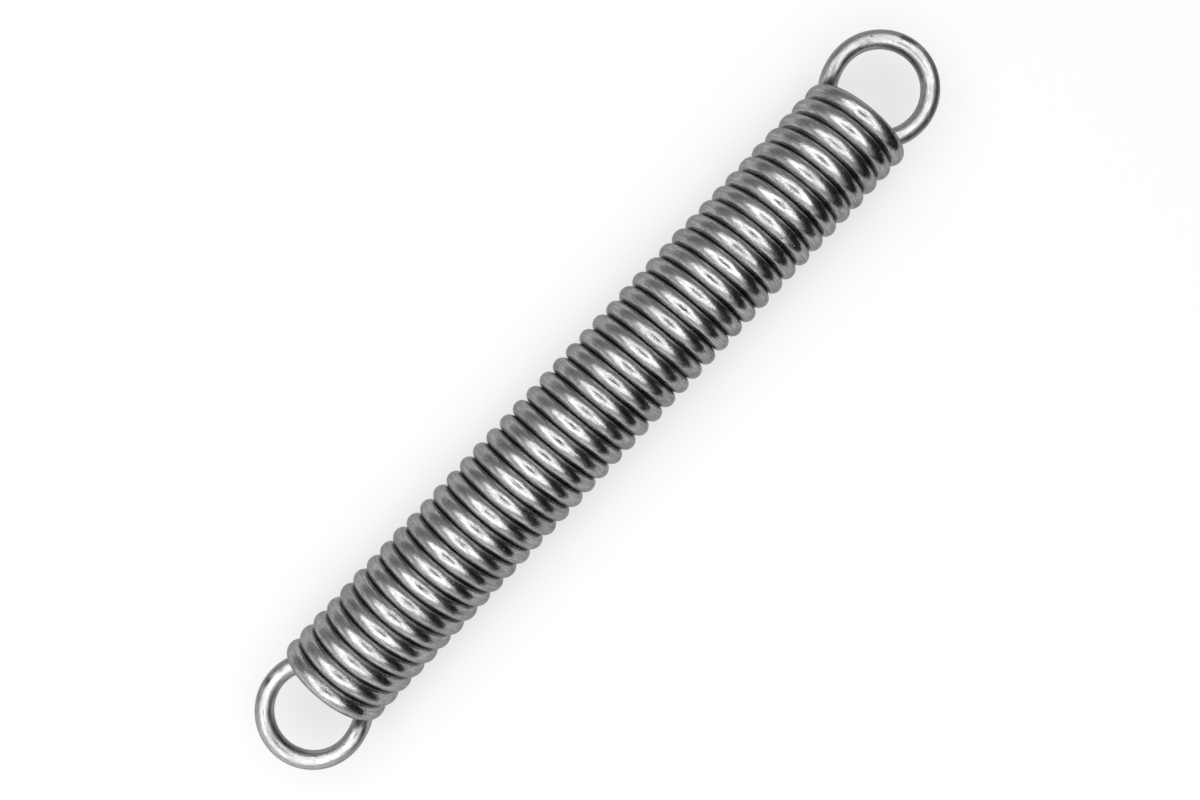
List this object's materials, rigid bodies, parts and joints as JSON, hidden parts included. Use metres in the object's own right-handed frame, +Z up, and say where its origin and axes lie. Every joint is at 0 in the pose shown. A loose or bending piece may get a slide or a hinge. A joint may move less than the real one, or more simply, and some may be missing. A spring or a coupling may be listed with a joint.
{
  "type": "extension spring",
  "caption": "Close-wound extension spring of round drawn steel wire, with a full eye bent out at each end to hook over a pin.",
  "frame": {"origin": "under the middle of the spring's outline, on the surface it lies on", "axes": "+X along the coil axis, +Z up from the surface, both eyes lying flat in a plane parallel to XY at the coil axis"},
  "size_m": [0.1993, 0.0272, 0.024],
  "materials": {
    "spring_wire": "bare cold-drawn spring steel, fine streaks along the wire, light stains and tool marks"
  },
  "bodies": {
    "root": {"spring": "spring_wire"}
  },
  "joints": []
}
